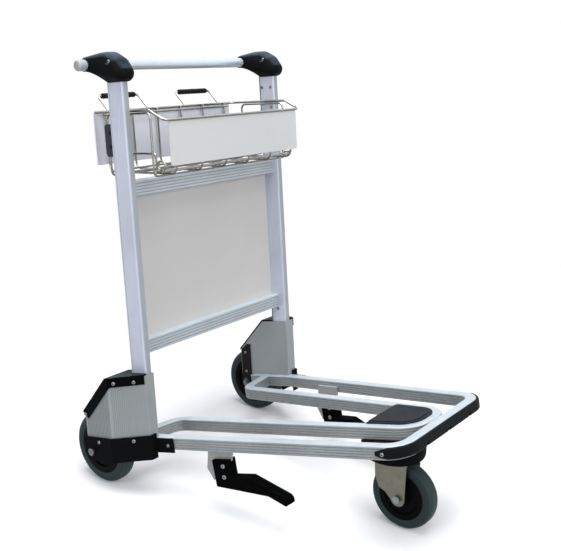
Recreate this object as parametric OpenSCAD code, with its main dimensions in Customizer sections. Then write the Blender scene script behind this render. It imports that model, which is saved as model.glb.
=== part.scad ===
// Airport luggage trolley with two fixed rear wheels and one swivel caster.
// X points forward, Y to the left, Z up; the origin is on the ground under
// the middle of the overall box.

/* [Uprights] */
// Backward lean of the posts, degrees
lean = 6; // [4:0.5:8]
// Front face of the posts at ground level, ahead of the rear axle
post_foot_x = 162; // [155:1:170]
// Outer faces of the posts, from the middle
post_out = 284; // [280:1:288]
// Post width across the trolley
post_w = 20; // [18:1:22]
// Post depth front to back
post_d = 52; // [48:1:56]
// Post wall
post_wall = 3; // [2:0.5:3.5]
// Length of the posts along their lean
post_top = 1030; // [1022:1:1034]
// Corner radius of the posts
post_r = 5; // [3:1:6]

/* [Cross rails and sign panel] */
// Height of the cross rails
cross_h = 36; // [30:1:40]
// Depth of the cross rails
cross_d = 31; // [28:1:34]
// Lower edge of the bottom rail along the posts
bottom_rail_s = 352; // [345:1:365]
// Lower edge of the top rail below the basket floor
top_rail_drop = 51; // [43:1:70]
// Thickness of the sign panel
sign_t = 3; // [2:0.5:4]
// Depth of the panel slots in the rails
slot_deep = 8; // [6:1:10]
// Play of the panel in its slots, each side
slot_play = 0.5; // [0.3:0.1:0.8]

/* [Handle] */
// Diameter of the push bar
bar_dia = 25; // [22:1:27]
// Wall of the push bar
bar_wall = 2; // [1.5:0.5:3]
// Bar axis behind the front faces of the posts
bar_back = 88; // [84:1:92]
// Bar axis above the tops of the posts
bar_up = 5; // [2:1:9]
// Bar tube beyond the outer faces of the posts
bar_over = 30; // [30:1:40]
// Length of an end cap outside the bar
cap_len = 21; // [18:1:32]

/* [Basket] */
// Rim wire inside the inner faces of the posts, middle line
basket_gap = 13; // [12:1:24]
// Back of the rim behind the post front
basket_back = 145; // [135:1:150]
// Front of the rim ahead of the post front
basket_front = 90; // [80:1:100]
// Rim below the tops of the posts
rim_below = 102; // [90:1:112]
// Drop of the rim to the front
rim_drop = 23; // [12:1:30]
// Depth of the basket below its rim
basket_deep = 145; // [130:1:160]
// Rim wire diameter
rim_dia = 6; // [5:0.5:7]
// Rib wire diameter
rib_dia = 5; // [4:0.5:5.5]
// Number of cross ribs
rib_count = 6; // [4:1:8]
// Outermost ribs inside the rim wire
rib_edge = 36; // [28:1:50]
// Thickness of the basket panels
board_t = 3; // [2:0.5:4]
// Grip diameter over its rings
grip_dia = 13.5; // [11:0.5:15]

/* [Rear wheels] */
// Rear wheel diameter
rear_wheel_dia = 180; // [170:2:184]
// Rear wheel middle plane outside the posts
wheel_offset = 13; // [12:0.5:14]
// Tyre width
tyre_w = 40; // [32:1:40]
// Hub width over the bearings
hub_w = 46; // [42:1:46]
// Rear rim diameter under the tyre
rear_rim_dia = 130; // [110:2:140]
// Rear axle diameter
axle_dia = 12; // [10:1:14]

/* [Wheel housing] */
// Wall of the housing shell
shell_t = 3.5; // [3:0.5:4]
// Housing wall outside the wheel's middle plane
shell_room = 39; // [37:1:43]
// Narrow front of the housing outside the posts
shell_lip = 6; // [5:1:10]
// Crease of the wall ahead of the axle
crease_ahead = 69.7; // [62:0.1:76]
// Rear edge of the housing behind the axle
shell_tail = 20.3; // [14:0.1:24]
// Upper corner of the diagonal above the lower one
hood_rise = 97; // [90:1:107]
// Lower corner of the diagonal above the wheel
hood_gap = 6.6; // [6.6:0.2:15.6]
// Distance between the fine ribs of the wall
shell_rib_step = 5; // [4:0.5:8]

/* [Deck] */
// Slope of the deck, rising to the front, degrees
slope = 13; // [10:0.5:14]
// Deck top above the ground over the rear axle
deck_z = 116; // [112:1:120]
// Rail width
rail_w = 26.4; // [24:0.4:26.4]
// Rail height
rail_h = 30; // [28:1:32]
// Rail wall
rail_wall = 3; // [2.5:0.5:4]
// Outer rail inside the inner faces of the posts, middle line
rail_inset = 4.6; // [4.6:0.2:6]
// Rear end of the outer rail along the deck
rail_rear_u = 20.5; // [20:0.5:30]
// Bend of the outer rail ahead of the housing
rail_bend_ahead = 4; // [2:1:8]
// Inward angle of the outer rail, degrees
taper = 7.66; // [6:0.2:8]
// Outer front face along the deck
deck_front_u = 794; // [770:1:800]
// Corner radius of the outer rail, middle line
outer_corner_r = 47; // [40:1:55]
// Half width of the inner rail at the axle, middle line
inner_half_w = 146.2; // [140:0.2:150]
// Inward angle of the inner rail, degrees
inner_taper = 6.34; // [5:0.2:7]
// Half length of the inner rail's straight front
inner_flat = 10.5; // [8:0.5:20]
// Radius of the inner rail's rear bends, middle line
inner_rear_r = 40; // [34:1:48]
// Rear corner of the inner rail along the deck
inner_rear_u = 96; // [92:1:110]
// Backward sweep of the inner rail's ends, degrees
inner_sweep = 11; // [6:1:14]

/* [Bumper and nose] */
// Bumper thickness
bumper_t = 6; // [5:0.5:9]
// Bumper height
bumper_h = 26; // [20:1:27]
// Length of the bumper's arms behind the deck front
bumper_arm = 66; // [60:1:79]
// Rear edge of the nose plate behind the deck front
nose_back = 166; // [154:1:190]

/* [Caster] */
// Swivel axis behind the deck front
swivel_back = 125.65; // [117.65:1:133.65]
// Trail of the caster axle
trail = 37; // [34:1:40]
// Caster wheel diameter
caster_wheel_dia = 160; // [150:2:162]
// Caster rim diameter under the tyre
caster_rim_dia = 114; // [100:2:120]
// Underside of the caster cup above the wheel
cup_gap = 11; // [10:1:16]
// Radius of the caster cup
cup_r = 75; // [66:1:78]
// Kingpin diameter
kingpin_dia = 20; // [16:1:24]
// Caster axle diameter
caster_axle_dia = 10; // [8:1:12]
// Inner faces of the fork legs from the middle
fork_half = 30; // [29:0.5:32]
// Fork plate thickness
fork_t = 4; // [3:0.5:5]

/* [Nesting guides] */
// Guide plate distance from the rail bend along the rail
guide_along = 131; // [110:1:160]
// Guide plate thickness
guide_t = 7; // [5:0.5:8]
// Width of the guide skids
skid_w = 28; // [24:1:32]

/* [Fits] */
// Radial clearance of a turning fit
run_fit = 0.05; // [0.02:0.01:0.1]
// Radial clearance of a seated fit
seat_fit = 0.1; // [0.05:0.01:0.2]
// Side play of a wheel on its axle
side_play = 0.3; // [0.3:0.1:0.6]

/* [Hidden] */
$fn = 48;

aluminium = "#c6cbcf";
bright_wire = "#c9c8c4";
black_plastic = "#1d1f22";
tyre_grey = "#48545a";
zinc = "#a9a596";
board_grey = "#c3c2c1";

// Uprights: places across, front to back and along the posts
post_in = post_out - post_w;
cross_back = 0.5 - post_d;
cross_front = cross_back + cross_d;
bar_s = post_top + bar_up;
bar_half = post_out + bar_over;
// Seats of the knuckle's screws to either side of the post's middle
knuckle_screw_w = 23;
slot_back = cross_back + 2;
slot_w = sign_t + 2 * slot_play;
sign_back = slot_back + slot_play;
groove_deep = 6;
strip_deep = 0.8;
strip_edge = 6;

// Basket: wire lines inside one another
rim_r = rim_dia / 2;
rib_r = rib_dia / 2;
rim_s = post_top - rim_below;
floor_s = rim_s - basket_deep;
top_rail_s = floor_s - top_rail_drop;
basket_half_w = post_in - basket_gap;
rib_step = 2 * (basket_half_w - rib_edge) / (rib_count - 1);
rib_back = -basket_back + rim_r + rib_r;
rib_front = basket_front - rim_r - rib_r;
cradle_w = basket_half_w - rim_r - rib_r;
cradle_back = 44 - basket_back;
cradle_front = basket_front - 49;
cradle_top = rim_s - rim_r - rib_r - 0.5;
cradle_floor = floor_s - rib_dia;
cross_s = floor_s + rib_dia;
cross_first = rib_back + 31.5;
cross_last = rib_front - 22.5;
cross_places = [for (k = [0, 0.42, 0.876, 1]) cross_first + k * (cross_last - cross_first)];
fence_w = basket_half_w - 15;
fence_top = floor_s + 47;
// Eye at the front foot of each fence
eye_long = 23;
eye_high = 19;
rim_front_s = rim_s - rim_drop;
rim_fold = 45;
loop_in = 68;
loop_out = 200;
loop_rise = 37;
loop_back = 35;
loop_bend = 9;
board_low_s = floor_s + 19;
front_board_w = basket_half_w - 15;
back_board_w = basket_half_w - 6;

// Rear wheel and housing
wheel_r = rear_wheel_dia / 2;
rear_wheel_y = post_out + wheel_offset;
axle_s = sin(lean) * post_foot_x + cos(lean) * wheel_r;
axle_d = -cos(lean) * post_foot_x + sin(lean) * wheel_r;
shell_in = post_in - shell_t;
shell_out = rear_wheel_y + shell_room;
shell_front_w = post_out + shell_lip;
crease_back = -axle_d - crease_ahead;
shell_back = -axle_d + shell_tail;
shell_low_s = axle_s + wheel_r + hood_gap;
shell_top_s = shell_low_s + hood_rise;
shell_front = shell_t + 0.5;
rib_high = 0.9;
cover_gap = rib_high + 0.1;
plate_t = 4;
hood_t = 3;
band_deep = 20;
top_tilt = tan(slope - lean);
wall_path = [[shell_front, shell_front_w], [-crease_back, shell_out],
  [-shell_back, shell_out]];
diagonal = [[shell_front + 0.2, shell_top_s + (crease_back + 3.2 + shell_front) * top_tilt],
  [-crease_back - 3, shell_top_s], [-shell_back - 2, shell_low_s]];
strap_t = 4;
strap_r = 16;
axle_boss_dia = 34;
axle_boss_in = rear_wheel_y + hub_w / 2 + side_play + 6;
bracket_face = shell_out + cover_gap + plate_t;
nut_h = 8;
head_h = 7;

// Axle and rail socket in the slope of the deck; a place on the posts seen along the deck
function deck_u(d, n) =
  (d + post_foot_x * cos(lean) - deck_z * sin(lean) + n * sin(slope - lean)) / cos(slope - lean);
axle_u = (wheel_r - deck_z) * sin(slope);
axle_n = (wheel_r - deck_z) * cos(slope);
bracket_top_n = 11;
bracket_low_n = -50;
socket_rear_u = deck_u(shell_front + cover_gap, -1);
rail_bend_u = socket_rear_u + rail_bend_ahead;
socket_u = rail_bend_u + 47;
socket_t = 4;
face_play = 0.2;

// Deck lines
rail_hw = rail_w / 2;
rail_c = post_in - rail_inset;
bumper_tip_u = deck_front_u - bumper_arm;
nose_rear_u = deck_front_u - nose_back;
front_c = deck_front_u - rail_hw;
outer_front_w = rail_c - (front_c - rail_bend_u) * tan(taper);
inner_front_c = deck_front_u - rail_w - rail_hw;
inner_front_w = inner_half_w - inner_front_c * tan(inner_taper);
inner_corner_r = (inner_front_w - inner_flat) / tan(45 - inner_taper / 2);
inner_rear_w = inner_half_w - inner_rear_u * tan(inner_taper);
groove_n = 4;
rail_groove_deep = 1.3;
rail_groove_w = 2.4;
bend_step = 0.05;
bend_lap = 1;

// Caster heights
caster_r = caster_wheel_dia / 2;
swivel_x = deck_front_u * cos(slope) - swivel_back;
cup_z = caster_wheel_dia + cup_gap;
caster_x = swivel_x + trail;
ring_t = 1.7;
crown_top = cup_z - ring_t - side_play;
crown_t = 5;
pin_head_h = 4;
caster_hub_w = 2 * fork_half - 6;
plate_under = 6;
bearing_dia = 28;
bearing_w = 8;
hub_boss_dia = 42;
// Depth of the hub's sunken disc
hub_sink = 3;

// Overall box along X: grips at the back, bumper at the front
bumper_r = 4;
grip_x = post_foot_x - sin(lean) * (rim_s + loop_rise) - cos(lean) * (basket_back + loop_back);
x_back = grip_x - grip_dia / 2;
x_front = (deck_front_u + bumper_t - bumper_r) * cos(slope)
  + (bumper_h + 1 - bumper_r) * sin(slope) + bumper_r;
mid_x = (x_front + x_back) / 2;

// Frames of reference
module whole() { translate([-mid_x, 0, 0]) children(); }
module on_posts() { translate([post_foot_x, 0, 0]) rotate([0, -lean, 0]) children(); }
module on_deck() { translate([0, 0, deck_z]) rotate([0, -slope, 0]) children(); }
module both() {
  children();
  mirror([0, 1, 0]) children();
}
module right() { mirror([0, 1, 0]) children(); }

// Plane geometry
function unit(v) = v / norm(v);
function reverse(p) = [for (i = [len(p) - 1:-1:0]) p[i]];
function left_normal(a, b) = let (v = unit(b - a)) [-v[1], v[0]];
function off_path(p, t) = [for (i = [0:len(p) - 1])
  let (n1 = i > 0 ? left_normal(p[i - 1], p[i]) : left_normal(p[0], p[1]),
       n2 = i < len(p) - 1 ? left_normal(p[i], p[i + 1]) : n1)
  p[i] + t * (n1 + n2) / (1 + n1 * n2)];
function band(p, a, b) = concat(off_path(p, a), reverse(off_path(p, b)));
function arc(c, r, a0, a1, n = 6) = [for (i = [0:n])
  let (a = a0 + (a1 - a0) * i / n) c + r * [cos(a), sin(a)]];
function round_box(x0, y0, x1, y1, r, n = 4) = concat(
  arc([x1 - r, y1 - r], r, 0, 90, n), arc([x0 + r, y1 - r], r, 90, 180, n),
  arc([x0 + r, y0 + r], r, 180, 270, n), arc([x1 - r, y0 + r], r, 270, 360, n));

// Solids drawn along the trolley's width
module side_prism(p, y0, y1) {
  translate([0, y1, 0]) rotate([90, 0, 0]) linear_extrude(y1 - y0) polygon(p);
}
module y_rod(x, z, y0, y1, dia) {
  translate([x, y0, z]) rotate([-90, 0, 0]) cylinder(h = y1 - y0, d = dia);
}
module y_hex(x, z, y0, y1, across) {
  translate([x, y0, z]) rotate([-90, 0, 0]) cylinder(h = y1 - y0, d = across / cos(30), $fn = 6);
}

// Round wire along a line of points with bends of one radius; slanted bends are joined by weld beads
function turn_at(p, i) =
  let (n = len(p), a = unit(p[i] - p[(i + n - 1) % n]), b = unit(p[(i + 1) % n] - p[i]))
  acos(max(-1, min(1, a * b)));
function setback(p, i, r, closed, skip = 0) =
  !closed && (i == 0 || i == len(p) - 1) ? 0 : r * tan(turn_at(p, i) / 2) + skip;
function euler(ex, ey, ez) = abs(ex[2]) > 0.99999
  ? (ex[2] > 0 ? [atan2(-ey[0], ey[1]), -90, 0] : [atan2(ey[0], ey[1]), 90, 0])
  : [atan2(ey[2], ez[2]), -asin(ex[2]), atan2(ex[1], ex[0])];
module wire_straight(a, b, dia) {
  ez = unit(b - a);
  ex = unit(cross(abs(ez[2]) < 0.9 ? [0, 0, 1] : [0, 1, 0], ez));
  translate(a) rotate(euler(ex, cross(ez, ex), ez)) cylinder(h = norm(b - a), d = dia);
}
module wire_bend(p, i, r, dia, bead) {
  n = len(p);
  a = unit(p[i] - p[(i + n - 1) % n]);
  b = unit(p[(i + 1) % n] - p[i]);
  axis = unit(cross(a, b));
  inward = cross(axis, a);
  back = setback(p, i, r, true);
  start = p[i] - a * back;
  skip = bead > 0 ? asin(0.2 / r) : 0;
  translate(start + r * inward) rotate(euler(-inward, a, axis)) rotate([0, 0, skip])
    rotate_extrude(angle = turn_at(p, i) - 2 * skip) translate([r, 0]) circle(d = dia);
  if (bead > 0) {
    translate(start) rotate(euler(axis, cross(a, axis), a)) sphere(d = dia + 2 * bead);
    translate(p[i] + b * back) rotate(euler(axis, cross(b, axis), b)) sphere(d = dia + 2 * bead);
  }
}
module wire(p, dia, r, closed = false, bead = 0) {
  n = len(p);
  skip = bead > 0 ? 0.2 : 0;
  for (i = [0:closed ? n - 1 : n - 2]) {
    d = unit(p[(i + 1) % n] - p[i]);
    wire_straight(p[i] + d * setback(p, i, r, closed, skip),
      p[(i + 1) % n] - d * setback(p, (i + 1) % n, r, closed, skip), dia);
  }
  for (i = [closed ? 0 : 1:closed ? n - 1 : n - 2]) wire_bend(p, i, r, dia, bead);
}

// Profile bent along a flat line: the straights reach a little way into the bends,
// whose profile is fuller by bend_step
function heading(p, i) = atan2(p[i + 1][1] - p[i][1], p[i + 1][0] - p[i][0]);
function flat_turn(p, i) =
  let (t = heading(p, i) - heading(p, i - 1)) t > 180 ? t - 360 : t < -180 ? t + 360 : t;
function flat_setback(p, r, i) = i == 0 || i == len(p) - 1 ? 0 : r[i] * tan(abs(flat_turn(p, i)) / 2);
module bent_bar(p, r) {
  for (i = [0:len(p) - 2]) {
    d = unit(p[i + 1] - p[i]);
    a = p[i] + d * (i == 0 ? 0 : flat_setback(p, r, i) - bend_lap);
    b = p[i + 1] - d * (i == len(p) - 2 ? 0 : flat_setback(p, r, i + 1) - bend_lap);
    translate([a[0], a[1], 0]) rotate([0, 0, heading(p, i)]) rotate([90, 0, 90])
      linear_extrude(norm(b - a)) children(0);
  }
  for (i = [1:len(p) - 2]) {
    t = flat_turn(p, i);
    side = t > 0 ? 1 : -1;
    h0 = heading(p, i - 1);
    h1 = heading(p, i);
    s = p[i] - flat_setback(p, r, i) * [cos(h0), sin(h0)];
    c = s + side * r[i] * [-sin(h0), cos(h0)];
    translate([c[0], c[1], 0]) rotate([0, 0, side > 0 ? h0 - 90 : h1 + 90])
      rotate_extrude(angle = abs(t)) translate([r[i], 0]) mirror([side > 0 ? 1 : 0, 0]) children(1);
  }
}

// Profile of the deck rails, top face at zero, middle at zero
module rail_profile(slim = 0) {
  land = rail_h / (groove_n + 1);
  hw = rail_hw - slim;
  room = rail_groove_deep + rail_wall - slim;
  difference() {
    polygon(round_box(-hw, slim - rail_h, hw, -slim, 3, 3));
    for (k = [1:groove_n], x = [-rail_hw, rail_hw])
      translate([x, -k * land])
        square([2 * (rail_groove_deep + slim), rail_groove_w + 2 * slim], center = true);
    translate([room - rail_hw, rail_wall - slim - rail_h])
      square([rail_w - 2 * room, rail_h - 2 * (rail_wall - slim)]);
  }
}
// Left edge line of the outer rail ahead of its bend, offset from its middle
function outer_rail_at(u, off) = rail_c - (u - rail_bend_u) * tan(taper) + off / cos(taper);

// Wheel pieces, turning about Y at the origin
module wheel_hub(rim_dia, w, width, bore) {
  disc_dia = rim_dia * 0.76;
  rotate([90, 0, 0]) difference() {
    union() {
      translate([0, 0, -w / 2]) cylinder(h = w, d = hub_boss_dia);
      translate([0, 0, -width / 2]) cylinder(h = width, d = rim_dia);
    }
    for (m = [0, 1]) mirror([0, 0, m]) {
      translate([0, 0, width / 2 - hub_sink]) difference() {
        cylinder(h = hub_sink + 1, d = disc_dia);
        translate([0, 0, -1]) cylinder(h = hub_sink + 3, d = hub_boss_dia);
      }
      translate([0, 0, width / 2 - hub_sink - 2]) difference() {
        cylinder(h = 3, d = disc_dia);
        translate([0, 0, -1]) cylinder(h = 5, d = disc_dia - 5);
      }
      translate([0, 0, w / 2 - bearing_w]) cylinder(h = bearing_w + 1, d = bearing_dia);
    }
    translate([0, 0, -w]) cylinder(h = 2 * w, d = bore + 6);
  }
}
module wheel_tyre(dia, rim_dia, width) {
  r = dia / 2;
  c = 14;
  rotate([90, 0, 0]) rotate_extrude() polygon(concat([[rim_dia / 2, -width / 2 + 1]],
    arc([r - c, -width / 2 + c], c, -90, 0), arc([r - c, width / 2 - c], c, 0, 90),
    [[rim_dia / 2, width / 2 - 1]]));
}
module wheel_bearings(w, bore) {
  for (m = [0, 1]) mirror([0, m, 0]) difference() {
    y_rod(0, 0, w / 2 - bearing_w, w / 2, bearing_dia);
    y_rod(0, 0, w / 2 - bearing_w - 1, w / 2 + 1, bore + 2 * run_fit);
  }
}

// Posts
module post_profile(extra = 0) {
  polygon(round_box(-post_d - extra, post_in - extra, extra, post_out + extra, post_r));
}
module post() {
  difference() {
    on_posts() linear_extrude(post_top) difference() {
      post_profile();
      polygon(round_box(slot_back + slot_w + post_wall, post_in + post_wall,
        -post_wall - 1, post_out - post_wall, 2, 2));
      translate([slot_back, post_in - 1]) square([slot_w, groove_deep + 1]);
      translate([strip_edge - post_d, post_out - strip_deep])
        square([post_d - 2 * strip_edge, strip_deep + 1]);
    }
    on_deck() translate([-100, 0, -400]) cube([500, 400, 400]);
    on_posts() translate([-26, post_in - 1, 344]) rotate([-90, 0, 0]) cylinder(h = post_wall + 2, d = 7);
  }
}
module left_post() { color(aluminium) whole() post(); }
module right_post() { color(aluminium) whole() right() post(); }

// Cross rails: ribbed front and back, slot for the sign panel on one edge
module cross_rail(s0, slot_top) {
  land = cross_h / (groove_n + 1);
  on_posts() translate([0, post_in, 0]) rotate([90, 0, 0]) linear_extrude(2 * post_in) difference() {
    polygon(round_box(cross_back, s0, cross_front, s0 + cross_h, 2, 2));
    for (k = [1:groove_n], x = [cross_back, cross_front])
      translate([x, s0 + k * land]) square([2.4, 2.6], center = true);
    translate([slot_back, slot_top ? s0 + cross_h - slot_deep : s0 - 1]) square([slot_w, slot_deep + 1]);
    translate([slot_back + slot_w + 3, s0 + 3.5]) square([cross_d - slot_w - 9.5, cross_h - 7]);
  }
}
module top_rail() { color(aluminium) whole() cross_rail(top_rail_s, false); }
module bottom_rail() { color(aluminium) whole() cross_rail(bottom_rail_s, true); }

module sign_panel() {
  low = bottom_rail_s + cross_h - slot_deep;
  color(board_grey) whole() on_posts()
    translate([sign_back, -post_in - groove_deep + slot_play, low])
      cube([sign_t, 2 * (post_in + groove_deep - slot_play), top_rail_s + slot_deep - slot_play - low]);
}

// Handle
module handle_bar() {
  color(aluminium) whole() on_posts() difference() {
    y_rod(-bar_back, bar_s, -bar_half, bar_half, bar_dia);
    y_rod(-bar_back, bar_s, -bar_half - 1, bar_half + 1, bar_dia - 2 * bar_wall);
  }
}
module handle_end_caps() {
  r = bar_dia / 2 + 0.5;
  e = 6;
  color("#8f9498") whole() on_posts() both() translate([-bar_back, bar_half, bar_s]) rotate([-90, 0, 0]) {
    rotate_extrude() polygon(concat([[0, 0], [r, 0]], arc([r - e, cap_len - e], e, 0, 90), [[0, cap_len]]));
    translate([0, 0, -20]) cylinder(h = 20, d = bar_dia - 2 * bar_wall - 2 * seat_fit);
  }
}

// Knuckles: rounded clamps with a pocket for the post and a bore for the bar
module knuckle() {
  mid = post_out - post_w / 2;
  on_posts() difference() {
    hull() {
      for (w = [mid - 7, mid + 6]) {
        translate([-40, w, bar_s + 3]) sphere(r = 24, $fn = 32);
        translate([-20, w, post_top - 2]) sphere(r = 23.5, $fn = 32);
        translate([-4, w, post_top - 17]) sphere(r = 20, $fn = 32);
        translate([-44, w, post_top - 20]) sphere(r = 18, $fn = 32);
      }
      for (w = [mid - 4, mid + 3]) translate([-62, w, bar_s + 1]) sphere(r = 26, $fn = 32);
      translate([-bar_back, mid - 42, bar_s]) rotate([-90, 0, 0]) cylinder(h = 80, r = 15, $fn = 32);
      translate([-bar_back, mid - 38, bar_s]) rotate([-90, 0, 0]) cylinder(h = 72, r = 18, $fn = 32);
    }
    translate([0, 0, post_top - 120]) linear_extrude(120) post_profile(seat_fit);
    y_rod(-bar_back, bar_s, 0, bar_half, bar_dia + 2 * run_fit);
    y_rod(-bar_back - 7, bar_s - bar_dia / 2 - 66, 0, 400, 129);
    for (m = [-1, 1]) translate([-22, mid + m * knuckle_screw_w, bar_s + 4])
      rotate([-90 * m, 0, 0]) cylinder(h = 20, d = 11);
  }
}
module left_knuckle() { color(black_plastic) whole() knuckle(); }
module right_knuckle() { color(black_plastic) whole() right() knuckle(); }

// Round screw head with a six-sided socket, standing on its seat at the origin, along Z
module screw_head(dia, h) {
  difference() {
    union() {
      cylinder(h = h * 0.6, d = dia);
      translate([0, 0, h * 0.6]) cylinder(h = h * 0.4, d1 = dia, d2 = dia * 0.75);
    }
    translate([0, 0, h * 0.4]) cylinder(h = h, d = dia * 0.4, $fn = 6);
  }
}
module knuckle_screws() {
  mid = post_out - post_w / 2;
  color(zinc) whole() on_posts() both() for (m = [-1, 1])
    translate([-22, mid + m * knuckle_screw_w, bar_s + 4]) rotate([-90 * m, 0, 0]) screw_head(10, 3);
}
module post_screws() {
  spots = [[-40, post_top - 65], [-11, post_top - 65], [-11, post_top - 118]];
  color(zinc) whole() on_posts() both() for (p = spots)
    translate([p[0], post_in, p[1]]) rotate([90, 0, 0]) screw_head(8, 2.5);
}

// Basket
module basket_rim() {
  w = basket_half_w;
  fall = atan2(rim_drop, basket_front - rim_fold);
  slant = norm([rim_drop, basket_front - rim_fold]);
  color(bright_wire) whole() on_posts() {
    wire([[rim_fold - 1, w, rim_s], [-basket_back, w, rim_s],
      [-basket_back, -w, rim_s], [rim_fold - 1, -w, rim_s]],
      rim_dia, 14);
    translate([rim_fold, 0, rim_s]) rotate([0, fall, 0])
      wire([[1, w, 0], [slant, w, 0], [slant, -w, 0], [1, -w, 0]], rim_dia, 14);
    both() translate([rim_fold, w, rim_s]) rotate([0, 90, 0]) sphere(d = rim_dia + 0.6);
  }
}
module basket_cradle() {
  w = cradle_w;
  color(bright_wire) whole() on_posts() wire([[cradle_back, w, cradle_top], [cradle_front, w, cradle_top],
    [cradle_front, w, cradle_floor], [cradle_front, -w, cradle_floor], [cradle_front, -w, cradle_top],
    [cradle_back, -w, cradle_top], [cradle_back, -w, cradle_floor], [cradle_back, w, cradle_floor]],
    rib_dia, 12, true);
}
module basket_ribs() {
  color(bright_wire) whole() on_posts() for (k = [0:rib_count - 1]) {
    w = (k - (rib_count - 1) / 2) * rib_step;
    wire([[rib_back, w, rim_s + 2], [rib_back, w, floor_s], [rib_front, w, floor_s],
      [rib_front, w, rim_front_s + 1]], rib_dia, 18);
  }
}
module basket_cross_wires() {
  color(bright_wire) whole() on_posts() {
    for (d = cross_places) y_rod(d, cross_s, -fence_w - 5, fence_w + 5, rib_dia);
    y_rod(rib_back + rib_dia, rim_s - 8, -fence_w + 10, fence_w - 10, rib_dia);
  }
}
module basket_fences() {
  seat = cross_s + rib_r;
  a = cross_places[1];
  b = cross_places[2];
  eye = b + rib_dia + 0.3;
  low = seat + rib_r + 0.3;
  color(bright_wire) whole() on_posts() both() {
    wire([[a, fence_w, seat], [a, fence_w, fence_top],
      [b, fence_w, fence_top], [b, fence_w, seat]], rib_dia, 9);
    wire([[eye, fence_w, low], [eye + eye_long, fence_w, low], [eye + eye_long, fence_w, low + eye_high],
      [eye, fence_w, low + eye_high]], rib_dia, 8, true);
  }
}
module hand_loops() {
  slant = unit([-loop_back, 0, loop_rise]);
  color(bright_wire) whole() on_posts() both() {
    foot = [-basket_back, 0, rim_s] + rim_r * slant;
    head = [-basket_back - loop_back, 0, rim_s + loop_rise];
    wire([foot + [0, loop_in, 0], head + [0, loop_in, 0], head + [0, loop_out, 0], foot + [0, loop_out, 0]],
      rim_dia, loop_bend, false, 0.1);
  }
}
module hand_grips() {
  a = loop_in + loop_bend + 3;
  b = loop_out - loop_bend - 3;
  rings = 9;
  step = (b - a) / rings;
  color(black_plastic) whole() on_posts() both() difference() {
    union() {
      y_rod(-basket_back - loop_back, rim_s + loop_rise, a, b, grip_dia - 2);
      for (k = [0:rings - 1]) y_rod(-basket_back - loop_back, rim_s + loop_rise,
        a + step * (k + 0.15), a + step * (k + 0.75), grip_dia);
    }
    y_rod(-basket_back - loop_back, rim_s + loop_rise, a - 1, b + 1, rim_dia + 2 * seat_fit);
  }
}
module basket_front_panel() {
  low = board_low_s;
  top = rim_front_s - rim_r - 0.1;
  color("#d4d5d4") whole() on_posts() translate([rib_front + rib_r + 0.2, 0, 0]) rotate([90, 0, 90])
    linear_extrude(board_t) polygon(round_box(-front_board_w, low, front_board_w, top, 4));
}
module basket_back_panel() {
  color("#e3e3ea") whole() on_posts()
    translate([-basket_back - rim_r - 0.2 - board_t, 0, 0]) rotate([90, 0, 90])
    linear_extrude(board_t) polygon(round_box(-back_board_w, board_low_s, back_board_w, rim_s, 4));
}

// Basket brackets: plate on the inner face of the post, clip round the rear leg of the cradle
bracket_low = floor_s + 41;
bracket_high = rim_s - 28;
bracket_plate = 4;
module basket_bracket() {
  rear = cradle_back + 9;
  inner = cradle_w - rib_r - 3;
  clip = [[cradle_back - 6, inner], [cradle_back + 6, inner], [cradle_back + 6, cradle_w + rib_r],
    [rear + 8, post_in - bracket_plate], [rear + 8, post_in], [rear, post_in], [rear, post_in - 3],
    [cradle_back - 2, cradle_w + 6.5], [cradle_back - 6, cradle_w + 6.5]];
  on_posts() difference() {
    union() {
      side_prism(round_box(rear, bracket_low, -8, bracket_high, 6), post_in - bracket_plate, post_in);
      translate([0, 0, bracket_low + 6]) linear_extrude(bracket_high - bracket_low - 12) polygon(clip);
    }
    translate([cradle_back, cradle_w, bracket_low - 1])
      cylinder(h = bracket_high - bracket_low + 2, d = rib_dia + 2 * seat_fit);
    for (s = [bracket_low + 22, bracket_high - 22])
      side_prism(round_box(rear + 12, s - 8, -58, s + 8, 7), post_in - bracket_plate - 1, post_in + 1);
  }
}
module basket_brackets() { color("#3b3e42") whole() both() basket_bracket(); }
module bracket_screws() {
  color(zinc) whole() on_posts() both() for (d = [-40, -14], s = [bracket_low + 18, bracket_high - 18])
    translate([d, post_in - bracket_plate, s]) rotate([90, 0, 0]) screw_head(8, 3);
}

// Wheel housings: ribbed shell round the foot of the post
module wall_ribs(a, b, margin) {
  v = unit(b - a);
  for (k = [0:floor((norm(b - a) - 2 * margin) / shell_rib_step)])
    translate(a + v * (margin + k * shell_rib_step)) rotate(atan2(v[1], v[0]))
      translate([-0.6, -rib_high]) square([1.2, rib_high + 0.5]);
}
module shell_plan() {
  r = 5;
  path = concat([[-shell_back, shell_in]], arc([shell_front - r, shell_in + r], r, 270, 360, 3), wall_path);
  polygon(band(path, 0, shell_t));
  wall_ribs(wall_path[0], wall_path[1], 4);
  wall_ribs(wall_path[1], wall_path[2], 4);
}
module housing() {
  difference() {
    on_posts() intersection() {
      linear_extrude(shell_top_s + 60) shell_plan();
      translate([0, 0, -face_play / 2])
        side_prism(concat([[40, 0], [40, shell_top_s + (crease_back + 43) * top_tilt]],
        [diagonal[1], diagonal[2]], [[-shell_back - 2, 0]]), 0, 400);
    }
    on_deck() translate([-100, 0, -400]) cube([500, rail_c + rail_hw + 1.9, 400]);
    on_deck() translate([-100, 0, -400]) cube([500, 500, 400 - 25]);
    y_rod(0, wheel_r, post_out, 400, axle_boss_dia + 3);
  }
}
module left_housing() { color("#b5babb") whole() housing(); }
module right_housing() { color("#b5babb") whole() right() housing(); }

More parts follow.
